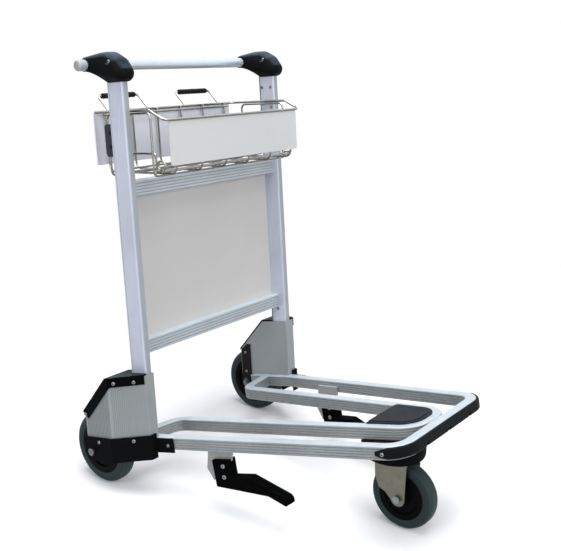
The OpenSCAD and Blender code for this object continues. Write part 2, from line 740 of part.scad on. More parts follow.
// Hood: domed top, diagonal cover and a band on the outer wall
module hood() {
  clear = 0.5;
  outer = off_path([wall_path[0], wall_path[1], [-shell_back - 20, shell_out]], -cover_gap - hood_t);
  plan = concat([[-shell_back - 20, shell_in], [-post_d - clear, shell_in],
    [-post_d - clear, post_out + clear],
    [1, post_out + clear]], [[1, outer[0][1] + 1.5]], [outer[1], outer[2]]);
  on_posts() {
    intersection() {
      linear_extrude(400) polygon(plan);
      union() {
        side_prism(band(diagonal, -hood_t - 1, 0), 0, 400);
        intersection() {
          translate([-42, post_out - 2, shell_top_s - 83]) sphere(r = 90, $fn = 128);
          side_prism([diagonal[0], diagonal[1], [diagonal[1][0], 400], [diagonal[0][0], 400]], 0, 400);
        }
      }
    }
    intersection() {
      linear_extrude(400)
        polygon(band([[1, wall_path[0][1] + 1.5], wall_path[1], [-shell_back - 20, shell_out]],
        -cover_gap - hood_t, -cover_gap));
      side_prism(band(diagonal, -hood_t - 1, band_deep), 0, 400);
    }
  }
}
module left_hood() { color(black_plastic) whole() hood(); }
module right_hood() { color(black_plastic) whole() right() hood(); }

// Axle brackets: lower moulding with the axle boss, a web and the rail socket
module axle_bracket() {
  front = [[shell_front, rail_c + rail_hw + 1.5], wall_path[0], wall_path[1], [-shell_back - 20, shell_out]];
  lobe = axle_n - bracket_low_n;
  side = concat([[260, bracket_low_n], [260, bracket_top_n], [axle_u - lobe, bracket_top_n]],
    arc([axle_u, axle_n], lobe, 180, 270));
  socket = [[socket_rear_u, rail_c + rail_hw + face_play], [rail_bend_u, rail_c + rail_hw + face_play],
    [socket_u, outer_rail_at(socket_u, rail_hw + face_play)],
    [socket_u, outer_rail_at(socket_u, rail_hw + face_play + socket_t)],
    [rail_bend_u, rail_c + rail_hw + face_play + socket_t],
    [socket_rear_u, rail_c + rail_hw + face_play + socket_t]];
  difference() {
    union() {
      intersection() {
        on_posts() linear_extrude(260) polygon(band(front, -cover_gap - plate_t, -cover_gap));
        on_deck() side_prism(side, 0, 500);
      }
      y_rod(0, wheel_r, axle_boss_in, bracket_face - 1, axle_boss_dia);
      on_deck() translate([0, 0, -36]) linear_extrude(35) polygon(socket);
      intersection() {
        on_posts() linear_extrude(260)
          polygon(concat(off_path(front, -cover_gap - 1), [[-shell_back - 20, 200], [4, 200]]));
        on_deck() translate([108, rail_c + rail_hw + face_play, bracket_low_n])
          cube([4, 200, -26 - bracket_low_n]);
      }
    }
    y_rod(0, wheel_r, 0, 400, axle_dia + 2 * seat_fit);
  }
}
module left_axle_bracket() { color(black_plastic) whole() axle_bracket(); }
module right_axle_bracket() { color(black_plastic) whole() right() axle_bracket(); }

// Straps: carry the inner end of the axle under the inner wall
module strap() {
  diag = off_path(diagonal, 3);
  v = unit(diag[2] - diag[1]);
  back = axle_d - strap_r;
  front = axle_d + strap_r;
  function on_diag(d) = diag[1][1] + (d - diag[1][0]) * v[1] / v[0];
  difference() {
    on_posts() side_prism(concat([[front, on_diag(back) + 18], [front - 12, on_diag(back) + 18],
      [back, on_diag(back)]], arc([axle_d, axle_s], strap_r, 180, 360, 10)), shell_in - strap_t, shell_in);
    y_rod(0, wheel_r, 0, 400, axle_dia + 2 * seat_fit);
  }
}
module left_strap() { color(black_plastic) whole() strap(); }
module right_strap() { color(black_plastic) whole() right() strap(); }

// Screw heads of the hoods, brackets and straps
module wall_screw(t, s, out) {
  a = wall_path[0];
  b = wall_path[1];
  v = unit(b - a);
  p = a + (b - a) * t + out * [v[1], -v[0]];
  translate([p[0], p[1], s]) rotate([0, 0, atan2(v[1], v[0])]) rotate([90, 0, 0]) screw_head(9, 3);
}
module housing_screws() {
  band_out = cover_gap + hood_t;
  plate_out = cover_gap + plate_t;
  color(zinc) whole() both() on_posts() {
    wall_screw(0.3, shell_top_s - 4, band_out);
    wall_screw(0.82, shell_top_s - 8, band_out);
    translate([-shell_back + 6, shell_out + band_out, shell_low_s - 3]) rotate([-90, 0, 0]) screw_head(9, 3);
    wall_screw(0.42, axle_s + 42, plate_out);
    translate([axle_d + 28, shell_out + plate_out, axle_s + 29]) rotate([-90, 0, 0]) screw_head(9, 3);
    for (s = [axle_s + 34, axle_s + 92])
      translate([axle_d, shell_in - strap_t, s]) rotate([90, 0, 0]) screw_head(8, 2.5);
  }
  color(zinc) whole() both() on_deck()
    translate([socket_u - 14, outer_rail_at(socket_u - 14, rail_hw + face_play + socket_t), -18])
    rotate([0, 0, -taper]) rotate([-90, 0, 0]) screw_head(8, 3);
}

// Rear axles, nuts and spacers
module axle() {
  y_rod(0, wheel_r, shell_in - strap_t - nut_h - 2, bracket_face, axle_dia);
  y_hex(0, wheel_r, bracket_face, bracket_face + head_h, 18);
}
module left_axle() { color(zinc) whole() axle(); }
module right_axle() { color(zinc) whole() right() axle(); }
module axle_nuts() {
  y = shell_in - strap_t;
  color(zinc) whole() both() difference() {
    union() {
      y_rod(0, wheel_r, y - 2, y, 24);
      y_hex(0, wheel_r, y - nut_h, y - 2, 18);
    }
    y_rod(0, wheel_r, y - nut_h - 1, y + 1, axle_dia + 2 * run_fit);
  }
}
module axle_spacers() {
  color(zinc) whole() both() difference() {
    union() {
      y_rod(0, wheel_r, shell_in, rear_wheel_y - hub_w / 2 - side_play, 18);
      y_rod(0, wheel_r, rear_wheel_y + hub_w / 2 + side_play, axle_boss_in, 18);
    }
    y_rod(0, wheel_r, 0, 400, axle_dia + 2 * run_fit);
  }
}

// Rear wheels
module rear_place() { translate([0, rear_wheel_y, wheel_r]) children(); }
module left_hub() {
  color(black_plastic) whole() rear_place()
    wheel_hub(rear_rim_dia, hub_w, tyre_w - 2, axle_dia);
}
module right_hub() {
  color(black_plastic) whole() right() rear_place()
    wheel_hub(rear_rim_dia, hub_w, tyre_w - 2, axle_dia);
}
module left_tyre() { color(tyre_grey) whole() rear_place() wheel_tyre(rear_wheel_dia, rear_rim_dia, tyre_w); }
module right_tyre() {
  color(tyre_grey) whole() right() rear_place() wheel_tyre(rear_wheel_dia, rear_rim_dia, tyre_w);
}
module left_bearings() { color(zinc) whole() rear_place() wheel_bearings(hub_w, axle_dia); }
module right_bearings() { color(zinc) whole() right() rear_place() wheel_bearings(hub_w, axle_dia); }

// Deck rails
module outer_rail() {
  half = [[rail_rear_u, rail_c], [rail_bend_u, rail_c], [front_c, outer_front_w]];
  path = concat(half, [for (p = reverse(half)) [p[0], -p[1]]]);
  color(aluminium) whole() on_deck()
    bent_bar(path, [0, 150, outer_corner_r, outer_corner_r, 150, 0]) {
      rail_profile(bend_step);
      rail_profile();
    }
}
module inner_rail() {
  reach = rail_c - inner_rear_w;
  half = [[inner_rear_u - reach * tan(inner_sweep), rail_c],
    [inner_rear_u, inner_rear_w], [inner_front_c, inner_front_w]];
  path = concat(half, [for (p = reverse(half)) [p[0], -p[1]]]);
  color(aluminium) whole() on_deck() difference() {
    bent_bar(path, [0, inner_rear_r, inner_corner_r, inner_corner_r, inner_rear_r, 0]) {
      rail_profile(bend_step);
      rail_profile();
    }
    both() translate([0, rail_c - rail_hw, -50]) cube([300, 100, 100]);
  }
}

module bumper_profile(slim) {
  inner = rail_hw + face_play + slim;
  outer = rail_hw + bumper_t - slim;
  low = slim - 1 - bumper_h;
  polygon(concat([[inner, -1 - slim], [inner, low]],
    arc([outer - bumper_r, low + bumper_r], bumper_r, -90, 0, 4),
    arc([outer - bumper_r, -1 - slim - bumper_r], bumper_r, 0, 90, 4)));
}
// Bumper: strip round the front of the outer rail with pointed ends and drain notches
module front_bumper() {
  half = [[bumper_tip_u, outer_rail_at(bumper_tip_u, 0)], [front_c, outer_front_w]];
  path = concat(half, [for (p = reverse(half)) [p[0], -p[1]]]);
  mid_n = -1 - bumper_h / 2;
  point = 34;
  color(black_plastic) whole() on_deck() difference() {
    bent_bar(path, [0, outer_corner_r, outer_corner_r, 0]) {
      bumper_profile(bend_step);
      bumper_profile(0);
    }
    for (m = [-1, 1])
      side_prism([[bumper_tip_u - 9, mid_n + m], [bumper_tip_u + point, mid_n + m * (bumper_h / 2 + 1)],
      [bumper_tip_u - 9, mid_n + m * (bumper_h / 2 + 1)]], -400, 400);
    for (w = [-98, 0, 98]) translate([deck_front_u + bumper_t - 4, w - 5, -2 - bumper_h]) cube([8, 10, 10]);
  }
}
module bumper_screws() {
  u = bumper_tip_u + 20;
  color(zinc) whole() on_deck() both() translate([u, outer_rail_at(u, rail_hw + bumper_t), -1 - bumper_h / 2])
    rotate([0, 0, -taper]) rotate([-90, 0, 0]) screw_head(9, 3);
}

// Nose plate: cover in the nose of the inner rail with a rim that rests on the rail
function nose_line(off) = let (r = inner_corner_r - off, u = inner_front_c - inner_corner_r,
    w = inner_half_w - u * tan(inner_taper) - inner_corner_r / cos(inner_taper))
  concat([[nose_rear_u, inner_half_w - nose_rear_u * tan(inner_taper) - off / cos(inner_taper)]],
    arc([u, w], r, 90 - inner_taper, 0, 8));
function nose_shape(off) = concat(nose_line(off), [for (p = reverse(nose_line(off))) [p[0], -p[1]]]);
module nose_plate() {
  play = 0.4;
  color("#2b2e33") whole() on_deck() {
    translate([0, 0, -rail_h]) linear_extrude(rail_h + 0.1) polygon(nose_shape(rail_hw + play));
    linear_extrude(2.5) polygon(nose_shape(rail_hw - 6));
    linear_extrude(4) polygon(nose_shape(rail_hw + 4));
  }
}

// Caster cup under the rails, on a flat plate that follows the deck
module caster_cup() {
  r = 9;
  color(black_plastic) whole() difference() {
    union() {
      intersection() {
        translate([swivel_x, 0, cup_z]) rotate_extrude()
          polygon(concat([[0, 0]], arc([cup_r - r, r], r, 270, 360, 6), [[cup_r, 140], [0, 140]]));
        on_deck() translate([0, -200, -400]) cube([900, 400, 400 - rail_h]);
      }
      on_deck() translate([0, 0, -rail_h - plate_under]) linear_extrude(plate_under)
        polygon(round_box(nose_rear_u - 2, -104, nose_rear_u + 112, 104, 12));
    }
    translate([swivel_x, 0, cup_z - 1]) cylinder(h = 46, d = kingpin_dia + 2 * seat_fit);
  }
}

// Kingpin fixed in the cup, its head under the fork crown
module kingpin() {
  low = crown_top - crown_t - side_play;
  color(zinc) whole() translate([swivel_x, 0, 0]) {
    translate([0, 0, low]) cylinder(h = cup_z + 45 - low, d = kingpin_dia);
    translate([0, 0, low - pin_head_h]) cylinder(h = pin_head_h, d = kingpin_dia + 12);
  }
}
module thrust_ring() {
  color(zinc) whole() translate([swivel_x, 0, cup_z - ring_t]) difference() {
    cylinder(h = ring_t, d = 70);
    translate([0, 0, -1]) cylinder(h = ring_t + 2, d = kingpin_dia + 2 * seat_fit);
  }
}

// Fork: crown round the kingpin and two legs with skirts
module caster_fork() {
  leg_out = fork_half + fork_t;
  crown_low = crown_top - crown_t;
  lug = 18;
  up = crown_top - caster_r;
  leg = concat([[17, up], [-trail - 29, up], [-trail - 25, up - 50], [-trail - 13, 14], [-34, 9]],
    arc([0, 0], lug, 200, 355, 8));
  color(zinc) whole() difference() {
    union() {
      translate([swivel_x, 0, crown_low]) linear_extrude(crown_t) union() {
        circle(r = 40);
        translate([-29, -leg_out]) square([trail + 46, 2 * leg_out]);
      }
      for (m = [0, 1]) mirror([0, m, 0])
        translate([caster_x, 0, caster_r]) side_prism(leg, fork_half, leg_out);
    }
    translate([swivel_x, 0, crown_low - 1]) cylinder(h = crown_t + 2, d = kingpin_dia + 2 * run_fit);
    y_rod(caster_x, caster_r, -60, 60, caster_axle_dia + 2 * seat_fit);
  }
}
module caster_axle() {
  leg_out = fork_half + fork_t;
  color(zinc) whole() {
    y_rod(caster_x, caster_r, -leg_out, leg_out + 9, caster_axle_dia);
    y_hex(caster_x, caster_r, -leg_out - 7, -leg_out, 17);
  }
}
module caster_nut() {
  leg_out = fork_half + fork_t;
  color(zinc) whole() difference() {
    y_hex(caster_x, caster_r, leg_out, leg_out + 8, 17);
    y_rod(caster_x, caster_r, leg_out - 1, leg_out + 10, caster_axle_dia + 2 * run_fit);
  }
}
module caster_spacers() {
  color(zinc) whole() both() difference() {
    y_rod(caster_x, caster_r, caster_hub_w / 2 + side_play, fork_half, 18);
    y_rod(caster_x, caster_r, 0, fork_half + 1, caster_axle_dia + 2 * run_fit);
  }
}
module caster_place() { translate([caster_x, 0, caster_r]) children(); }
module caster_hub() {
  color(black_plastic) whole() caster_place()
    wheel_hub(caster_rim_dia, caster_hub_w, tyre_w - 2, caster_axle_dia);
}

module caster_tyre() {
  color(tyre_grey) whole() caster_place() wheel_tyre(caster_wheel_dia, caster_rim_dia, tyre_w);
}
module caster_bearings() { color(zinc) whole() caster_place() wheel_bearings(caster_hub_w, caster_axle_dia); }

// Nesting guides: plate on the inner face of each outer rail, moulded skid on the plate
module at_guide() {
  on_deck() translate([rail_bend_u, rail_c, 0]) rotate([0, 0, -taper])
    translate([guide_along, -rail_hw, 0]) rotate([0, slope, 0]) children();
}
guide_top = -13;
guide_long = 66;
guide_low = -107;
guide_bolts = [[51, -60], [56, -86]];
bolt_dia = 6;
function guide_plate_shape(c) = [
  [-c, guide_top / cos(slope) - c * tan(slope)], [-c, -83 - c], [20 - c, guide_low - c],
  [guide_long + c, guide_low + 7 - c],
  [guide_long + c, guide_top / cos(slope) + (guide_long + c) * tan(slope)]];
module guide_plates() {
  color(aluminium) whole() both() at_guide() difference() {
    side_prism(guide_plate_shape(0), -guide_t, 0);
    for (b = guide_bolts) y_rod(b[0], b[1], -50, 50, bolt_dia + 2 * seat_fit);
  }
}
module guide_skids() {
  skid = [[19, -54], [65, -42], [75, -82], [124, -69], [230, -92], [235, -100], [223, -110],
    [176, -99], [101, -108], [36, -116]];
  a = -guide_t / 2 - skid_w / 2;
  b = -guide_t / 2 + skid_w / 2;
  color(black_plastic) whole() both() at_guide() difference() {
    intersection() {
      side_prism(skid, a, b);
      translate([0, 0, -200]) linear_extrude(300)
        polygon([[0, a], [221, a], [236, a + 9], [236, b - 9], [221, b], [0, b]]);
    }
    side_prism(guide_plate_shape(0.2), -guide_t - 0.2, 0.2);
    for (g = guide_bolts) y_rod(g[0], g[1], -50, 50, bolt_dia + 2 * seat_fit);
  }
}
module guide_screws() {
  a = -guide_t / 2 - skid_w / 2;
  b = -guide_t / 2 + skid_w / 2;
  color(zinc) whole() both() at_guide() for (g = guide_bolts) {
    y_rod(g[0], g[1], a, b, bolt_dia);
    translate([g[0], b, g[1]]) rotate([-90, 0, 0]) screw_head(11, 3.5);
    translate([g[0], a, g[1]]) rotate([90, 0, 0]) screw_head(11, 3.5);
  }
}

left_post();
right_post();
top_rail();
bottom_rail();
sign_panel();
handle_bar();
handle_end_caps();
left_knuckle();
right_knuckle();
knuckle_screws();
post_screws();
basket_rim();
basket_cradle();
basket_ribs();
basket_cross_wires();
basket_fences();
hand_loops();
hand_grips();
basket_front_panel();
basket_back_panel();
basket_brackets();
bracket_screws();
left_housing();
right_housing();
left_hood();
right_hood();
left_axle_bracket();
right_axle_bracket();
left_strap();
right_strap();
housing_screws();
left_axle();
right_axle();
axle_nuts();
axle_spacers();
left_hub();
left_tyre();
left_bearings();
right_hub();
right_tyre();
right_bearings();
outer_rail();
inner_rail();
front_bumper();
bumper_screws();
nose_plate();
caster_cup();
kingpin();
thrust_ring();
caster_fork();
caster_axle();
caster_nut();
caster_spacers();
caster_hub();
caster_tyre();
caster_bearings();
guide_plates();
guide_skids();
guide_screws();
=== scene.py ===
import math
import bmesh
import bpy
from mathutils import Matrix, Vector, noise as rough_noise
from mathutils.bvhtree import BVHTree


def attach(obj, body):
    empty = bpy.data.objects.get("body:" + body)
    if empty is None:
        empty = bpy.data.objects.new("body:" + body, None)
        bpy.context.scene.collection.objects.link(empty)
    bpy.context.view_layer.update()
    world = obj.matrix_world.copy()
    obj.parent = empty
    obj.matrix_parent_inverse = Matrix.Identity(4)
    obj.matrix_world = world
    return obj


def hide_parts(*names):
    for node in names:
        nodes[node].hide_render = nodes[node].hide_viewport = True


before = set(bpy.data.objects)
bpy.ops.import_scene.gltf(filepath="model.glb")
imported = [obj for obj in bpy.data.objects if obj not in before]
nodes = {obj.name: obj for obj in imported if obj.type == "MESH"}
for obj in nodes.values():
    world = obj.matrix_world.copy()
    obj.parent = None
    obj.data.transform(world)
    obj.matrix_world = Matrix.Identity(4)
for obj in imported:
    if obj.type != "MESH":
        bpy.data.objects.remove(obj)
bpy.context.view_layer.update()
scene = bpy.context.scene

# Lengths in metres. The middle of the trolley's box lies this far ahead of the rear axle.
MID = 0.33007
# Wheels: radius, and place of the axle's middle sideways or ahead of the rear axle.
REAR_R, REAR_Y = 0.09, 0.297
CASTER_R, CASTER_X = 0.08, 0.685
# A weld bead: half axes along and across the wires, how uneven it is, and how its lumps are scaled and drawn.
BEAD = (0.0031, 0.0031, 0.0019)
BEAD_UNEVEN, BEAD_LUMPS, BEAD_SEED = 0.22, 1.7, 900.0
# Edges are probed at this step, wires this near count as touching, and hits this near make one bead.
PROBE_STEP, TOUCH, ONE_BEAD = 0.0022, 0.0009, 0.006
# The photo's frame and its camera: focal length and principal point in pixels, angles in degrees.
IMAGE_W, IMAGE_H = 561.0, 551.0
FOCAL, CENTRE_U, CENTRE_V = 895.07, 278.28, 256.85
CAMERA_AT = (1.57310 - MID, -1.6785, 1.1162)
CAMERA_YAW, CAMERA_PITCH, CAMERA_ROLL = 127.267, -14.371, 1.785
SENSOR_W = 36.0
# Floor and world: what they throw on the part, and what the camera and reflections see.
FLOOR_BOUNCE, FLOOR_SEEN = (0.36, 0.36, 0.37), (0.96, 0.96, 0.96)
WORLD_LIGHT, WHITE = (0.42, 0.44, 0.48), (1.0, 1.0, 1.0)
# The floor fades into the white backdrop between these distances from its middle.
FLOOR_SIZE, FLOOR_DROP, FADE_FROM, FADE_TO = 60.0, -0.0005, 0.55, 1.15


# Node helpers


def put(tree, value, socket):
    """Links a socket, or writes a plain value."""
    if isinstance(value, bpy.types.NodeSocket):
        tree.links.new(value, socket)
    else:
        socket.default_value = value


def math_node(tree, kind, a, b=0.5):
    n = tree.nodes.new("ShaderNodeMath")
    n.operation = kind
    put(tree, a, n.inputs[0])
    put(tree, b, n.inputs[1])
    return n.outputs[0]


def times(tree, a, b):
    return math_node(tree, "MULTIPLY", a, b)


def plus(tree, a, b):
    return math_node(tree, "ADD", a, b)


def vector_node(tree, kind, *values):
    n = tree.nodes.new("ShaderNodeVectorMath")
    n.operation = kind
    for value, socket in zip(values, n.inputs):
        put(tree, value, socket)
    return n.outputs["Value" if kind in ("LENGTH", "DOT_PRODUCT") else "Vector"]


def span(tree, value, low, high, a=0.0, b=1.0):
    """Maps low..high to a..b, clamped."""
    n = tree.nodes.new("ShaderNodeMapRange")
    n.clamp = True
    put(tree, value, n.inputs["Value"])
    n.inputs["From Min"].default_value = low
    n.inputs["From Max"].default_value = high
    n.inputs["To Min"].default_value = a
    n.inputs["To Max"].default_value = b
    return n.outputs["Result"]


def spread(tree, value, a=0.0, b=1.0):
    """Maps the middle of a noise's range to a..b."""
    return span(tree, value, 0.3, 0.7, a, b)


def mix(tree, fac, a, b):
    n = tree.nodes.new("ShaderNodeMix")
    n.data_type = "RGBA"
    put(tree, fac, n.inputs[0])
    for i, v in ((6, a), (7, b)):
        put(tree, v if isinstance(v, bpy.types.NodeSocket) else (*v, 1.0), n.inputs[i])
    return n.outputs[2]


def place(tree):
    return tree.nodes.new("ShaderNodeTexCoord").outputs["Object"]


def stretched(tree, at, scale, turn=(0.0, 0.0, 0.0)):
    n = tree.nodes.new("ShaderNodeMapping")
    n.inputs["Scale"].default_value = scale
    n.inputs["Rotation"].default_value = turn
    tree.links.new(at, n.inputs["Vector"])
    return n.outputs["Vector"]


def noise(tree, at, scale, detail, rough):
    n = tree.nodes.new("ShaderNodeTexNoise")
    n.inputs["Scale"].default_value = scale
    n.inputs["Detail"].default_value = detail
    n.inputs["Roughness"].default_value = rough
    tree.links.new(at, n.inputs["Vector"])
    return n.outputs[0]


def cells(tree, at, scale):
    n = tree.nodes.new("ShaderNodeTexVoronoi")
    n.inputs["Scale"].default_value = scale
    tree.links.new(at, n.inputs["Vector"])
    return n.outputs["Distance"]


def soft_edges(tree, radius):
    """Rounded shading normal, and a mask that is 1 along sharp edges."""
    round_n = tree.nodes.new("ShaderNodeBevel")
    round_n.samples = 6
    round_n.inputs["Radius"].default_value = radius
    geo = tree.nodes.new("ShaderNodeNewGeometry")
    alike = vector_node(tree, "DOT_PRODUCT", round_n.outputs[0], geo.outputs["Normal"])
    return round_n.outputs[0], span(tree, alike, 0.995, 0.85)


def bump(tree, height, depth, strength, normal):
    n = tree.nodes.new("ShaderNodeBump")
    n.inputs["Strength"].default_value = strength
    n.inputs["Distance"].default_value = depth
    tree.links.new(height, n.inputs["Height"])
    tree.links.new(normal, n.inputs["Normal"])
    return n.outputs["Normal"]


def facing(tree, axis, low, high):
    """0 to 1 as the part of a face's normal along an axis goes from low to high."""
    geo = tree.nodes.new("ShaderNodeNewGeometry")
    xyz = tree.nodes.new("ShaderNodeSeparateXYZ")
    tree.links.new(geo.outputs["Normal"], xyz.inputs[0])
    return span(tree, xyz.outputs[axis], low, high)


def recesses(tree, reach):
    """1 in grooves and inside corners, 0 on open faces."""
    n = tree.nodes.new("ShaderNodeAmbientOcclusion")
    n.samples = 6
    n.only_local = True
    n.inputs["Distance"].default_value = reach
    return span(tree, n.outputs["AO"], 0.80, 0.40)


def blank(name, metallic, specular):
    m = bpy.data.materials.new(name)
    m.use_nodes = True
    shader = m.node_tree.nodes["Principled BSDF"]
    shader.inputs["Metallic"].default_value = metallic
    shader.inputs["Specular IOR Level"].default_value = specular
    return m, m.node_tree, shader


def wear_mask(tree, at, edge, scale=60.0, share=0.5):
    """Edges, broken up so that only some stretches are worn."""
    broken = span(tree, noise(tree, at, scale, 4.0, 0.7), share - 0.08, share + 0.12)
    return times(tree, edge, broken)


def scaled(colour, by):
    return [min(1.0, c * by) for c in colour]


def dress(tree, shader, colour, rough, normal):
    for value, socket in ((colour, "Base Color"), (rough, "Roughness"), (normal, "Normal")):
        tree.links.new(value, shader.inputs[socket])


# Materials. Colours are linear, noise scales are per metre, lengths are in metres.


def drawn_metal(name, dark, light, metallic, rough, run, worn, streak=900.0, groove=0.25, painted_top_highlight=None, painted_front_shade=None,
                recess_shade=0.7, specular=0.5, blotch=0.22, painted_underside_shade=None, drawn=0.32, wear=0.6):
    """Extruded or drawn metal: die lines along one axis, handling marks, bare edges, painted shade in the grooves;
    where asked, painted shade on front faces and undersides and a painted highlight on tops.
    """
    m, t, s = blank(name, metallic, specular)
    at = place(t)
    scale = [streak, streak, streak]
    scale[run] = 5.0
    lines = noise(t, stretched(t, at, scale), 1.0, 2.0, 0.5)
    cloud = noise(t, at, 7.0, 4.0, 0.6)
    patch = noise(t, at, 38.0, 5.0, 0.65)
    fine = [170.0, 170.0, 170.0]
    fine[run] = 9.0
    nick = span(t, noise(t, stretched(t, at, fine, (0.35, 0.5, 0.3)), 1.0, 1.0, 0.4), 0.70, 0.76)
    normal, edges = soft_edges(t, 0.0009)
    col = mix(t, spread(t, cloud), dark, light)
    col = mix(t, spread(t, lines, 0.0, drawn), col, scaled(light, 1.16))
    col = mix(t, span(t, patch, 0.58, 0.75, 0.0, blotch), col, scaled(dark, 0.72))
    col = mix(t, times(t, nick, 0.35), col, scaled(light, 1.2))
    # Painted shade: faces turned towards +X are darkened, as if the key light came from the side.
    if painted_front_shade:
        col = mix(t, facing(t, "X", 0.6, 0.95), col, painted_front_shade)
    # Painted highlight: upward faces are lightened with a bluish tint, as if they caught the sky.
    if painted_top_highlight:
        lit_top_mask = times(t, facing(t, "Z", 0.35, 0.95), span(t, patch, 0.25, 0.6, 0.7, 1.0))
        col = mix(t, lit_top_mask, col, painted_top_highlight)
    if wear:
        col = mix(t, times(t, wear_mask(t, at, edges), wear), col, worn)
    # Painted shade: downward faces are darkened.
    if painted_underside_shade:
        col = mix(t, facing(t, "Z", -0.15, -0.95), col, painted_underside_shade)
    # Painted shade: grooves and inside corners are darkened through an occlusion mask.
    if recess_shade:
        col = mix(t, times(t, recesses(t, 0.004), recess_shade), col, scaled(dark, 0.22))
    matt = plus(t, spread(t, cloud, *rough), span(t, lines, 0.25, 0.75, -0.05, 0.06))
    height = math_node(t, "SUBTRACT", lines, times(t, nick, 0.8))
    dress(t, s, col, matt, bump(t, height, 0.00012, groove, normal))
    return m


# Dust with a painted bluish sky sheen for moulded tops, and painted shade for screw sockets.
DUST_AND_SKY_SHEEN, SOCKET_SHADE = (0.25, 0.36, 0.50), (0.008, 0.008, 0.008)


def moulded(name, dark, light, rough, worn, dust_and_sheen, grain=1500.0, depth=0.00025, edge=0.0012, specular=0.5,
            painted_end_shade=None):
    """Moulded plastic: fine eroded grain, scuffs, worn edges, dusty tops with a painted sky sheen, and painted
    shade on the end faces along Y.
    """
    m, t, s = blank(name, 0.0, specular)
    at = place(t)
    cloud = noise(t, at, 11.0, 4.0, 0.6)
    fine = noise(t, at, grain, 2.0, 0.6)
    pit = cells(t, at, grain * 0.55)
    scuff = span(t, noise(t, stretched(t, at, (45.0, 160.0, 90.0), (0.4, 0.2, 0.7)), 1.0, 4.0, 0.7), 0.62, 0.74)
    normal, edges = soft_edges(t, edge)
    col = mix(t, spread(t, cloud), dark, light)
    col = mix(t, times(t, scuff, 0.22), col, worn)
    col = mix(t, times(t, wear_mask(t, at, edges, 45.0, 0.52), 0.55), col, worn)
    # Upward faces get patches that are partly dust and partly a painted bluish sky sheen.
    painted_light_film = span(t, noise(t, at, 23.0, 5.0, 0.7), 0.35, 0.75, 0.3, 1.0)
    top = times(t, facing(t, "Z", 0.5, 1.0), painted_light_film)
    col = mix(t, times(t, top, dust_and_sheen), col, DUST_AND_SKY_SHEEN)
    # Painted shade: the end faces along Y are darker and browner.
    if painted_end_shade:
        both_ways = math_node(t, "MAXIMUM", facing(t, "Y", 0.85, 0.98), facing(t, "Y", -0.85, -0.98))
        col = mix(t, both_ways, col, painted_end_shade)
    matt = plus(t, spread(t, cloud, *rough), times(t, scuff, 0.12))
    height = plus(t, fine, times(t, pit, 0.6))
    dress(t, s, col, matt, bump(t, height, depth, 0.35, normal))
    return m


def coated(name, dark, light, rough, worn, specular, scratch):
    """Painted or laminated sheet: faint orange peel, hair scratches and chipped edges."""
    m, t, s = blank(name, 0.0, specular)
    at = place(t)
    cloud = noise(t, at, 4.5, 4.0, 0.55)
    peel = noise(t, at, 420.0, 2.0, 0.5)
    hair_a = noise(t, stretched(t, at, (260.0, 260.0, 7.0), (0.5, 0.0, 0.2)), 1.0, 1.0, 0.3)
    hair_b = noise(t, stretched(t, at, (240.0, 6.0, 240.0), (0.2, 0.3, 0.0)), 1.0, 1.0, 0.3)
    hair = math_node(t, "MAXIMUM", span(t, hair_a, 0.74, 0.78), span(t, hair_b, 0.75, 0.79))
    speck = span(t, noise(t, at, 310.0, 2.0, 0.5), 0.74, 0.80)
    normal, edges = soft_edges(t, 0.0007)
    col = mix(t, spread(t, cloud), dark, light)
    col = mix(t, times(t, speck, 0.3), col, scaled(dark, 0.6))
    col = mix(t, times(t, hair, scratch), col, worn)
    col = mix(t, times(t, wear_mask(t, at, edges, 90.0, 0.5), 0.6), col, worn)
    matt = plus(t, spread(t, cloud, *rough), times(t, hair, 0.15))
    dress(t, s, col, matt, bump(t, peel, 0.00012, 0.22, normal))
    return m


def plated(name, dark, light, rough, stain, scale, amount=0.5, painted_top_reflection=None, painted_light_film=None, recess_shade=0.0):
    """Zinc or chrome plating: cloudy passivation, small stains, a painted reflection on tops, painted shade below
    and in recesses.
    """
    m, t, s = blank(name, 1.0, 0.5)
    at = place(t)
    cloud = noise(t, at, scale, 5.0, 0.65)
    spang = cells(t, at, scale * 5.0)
    fine = noise(t, at, 1300.0, 2.0, 0.5)
    spot = span(t, noise(t, at, scale * 3.1, 4.0, 0.7), 0.62, 0.74)
    normal, edges = soft_edges(t, 0.0006)
    col = mix(t, spread(t, cloud), dark, light)
    col = mix(t, span(t, spang, 0.1, 0.7, 0.0, 0.18), col, scaled(dark, 0.8))
    col = mix(t, times(t, spot, amount), col, stain)
    col = mix(t, times(t, edges, 0.35), col, scaled(light, 1.15))
    # Painted reflection: upward faces are lightened, as if they mirrored the sky.
    if painted_top_reflection:
        lit = times(t, facing(t, "Z", 0.25, 0.85), span(t, cloud, 0.3, 0.6, 0.7, 1.0))
        col = mix(t, lit, col, painted_top_reflection)
    # Painted shade: downward faces are darkened, as if they mirrored the ground.
    if painted_light_film:
        col = mix(t, facing(t, "Z", 0.1, -0.7), col, painted_light_film)
    # Painted shade: screw sockets and other recesses are darkened through an occlusion mask.
    if recess_shade:
        col = mix(t, times(t, recesses(t, 0.003), recess_shade), col, SOCKET_SHADE)
    matt = plus(t, spread(t, cloud, *rough), times(t, spot, 0.2))
    dress(t, s, col, matt, bump(t, fine, 0.0001, 0.2, normal))
    return m


def turned(tree, at, centre):
    """Distance from a wheel's axis, the way from its middle, and that way without its part along the axis."""
    away = vector_node(tree, "SUBTRACT", at, centre)
    flat = vector_node(tree, "MULTIPLY", away, (1.0, 0.0, 1.0))
    return vector_node(tree, "LENGTH", flat), away, flat


def ring_lines(tree, radius, pitch):
    """Fine turned rings, 0..1."""
    wave = math_node(tree, "SINE", times(tree, radius, 2.0 * math.pi / pitch))
    return span(tree, wave, -1.0, 1.0)


# A tyre's painted highlight ring runs this far inside its outer radius.
HIGHLIGHT_RING_IN = 0.0045


